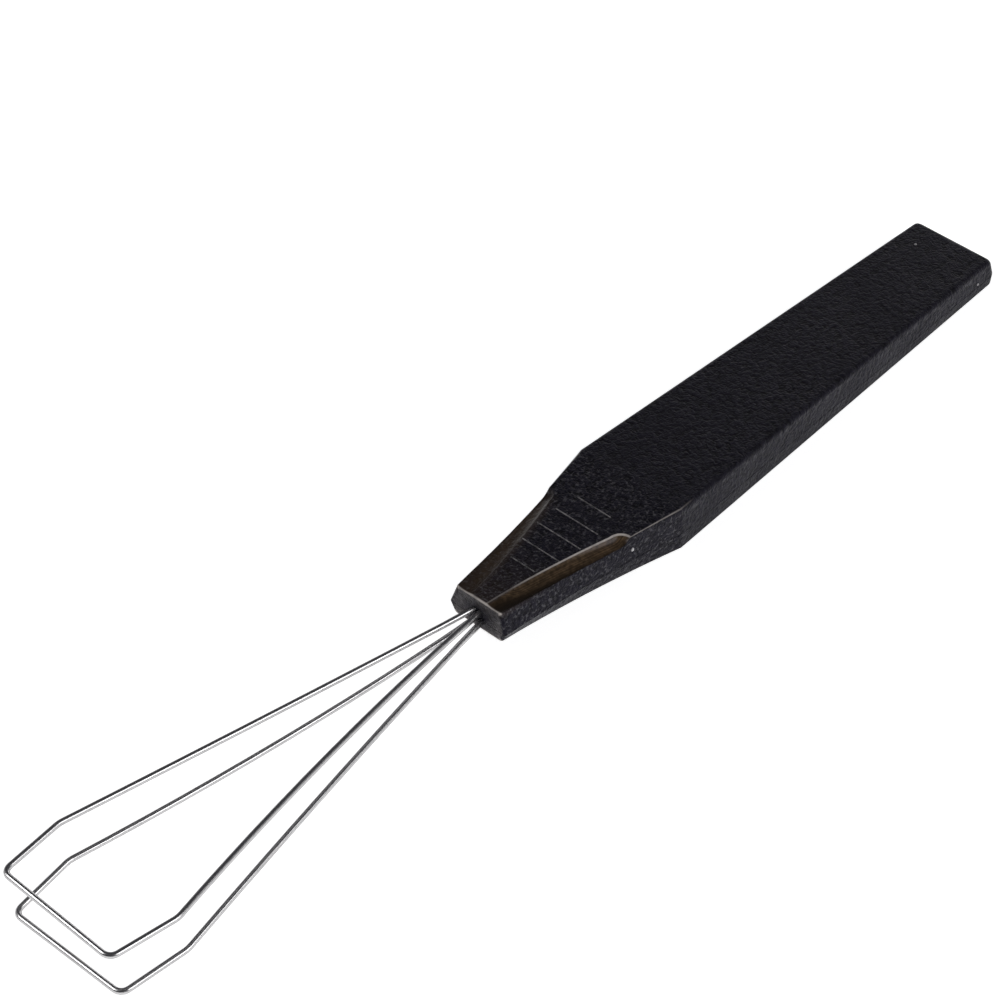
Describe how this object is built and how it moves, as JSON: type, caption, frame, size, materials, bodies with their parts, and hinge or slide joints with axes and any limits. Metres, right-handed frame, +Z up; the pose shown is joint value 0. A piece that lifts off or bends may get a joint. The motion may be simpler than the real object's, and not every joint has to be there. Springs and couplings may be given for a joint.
{
  "type": "wire keycap puller",
  "caption": "Wire keycap puller: a tapered moulded plastic handle whose fluted nose holds two sprung wire loops that hook under a keycap.",
  "frame": {"origin": "on the resting surface, under the point halfway between the bars of the loops and the butt of the handle, in the handle's middle plane", "axes": "+X towards the butt of the handle, the loops towards -X; +Z up from the handle's lower flat; +Y across the handle, and the tool is shown from its -Y side"},
  "size_m": [0.1472, 0.0195, 0.0063],
  "materials": {
    "black_plastic": "fine leather grain, satin",
    "spring_steel": "bright drawn wire"
  },
  "bodies": {
    "handle": {"handle_upper_half": "black_plastic", "handle_lower_half": "black_plastic", "upper_wire_tail_near": "spring_steel", "upper_wire_tail_far": "spring_steel", "lower_wire_tail_near": "spring_steel", "lower_wire_tail_far": "spring_steel"},
    "upper_loop": {"upper_wire_loop": "spring_steel"},
    "lower_loop": {"lower_wire_loop": "spring_steel"}
  },
  "joints": [
    {"name": "upper_loop_flex", "type": "hinge", "parent": "handle", "child": "upper_loop", "pos_m": [-0.01241, 0.00013, 0.00374], "axis": [0, 1, 0], "range_deg": [-1.2, 8], "stiffness_Nm_per_rad": 0.25},
    {"name": "lower_loop_flex", "type": "hinge", "parent": "handle", "child": "lower_loop", "pos_m": [-0.01243, -0.00019, 0.00274], "axis": [0, -1, 0], "range_deg": [-2, 8], "stiffness_Nm_per_rad": 0.25}
  ]
}
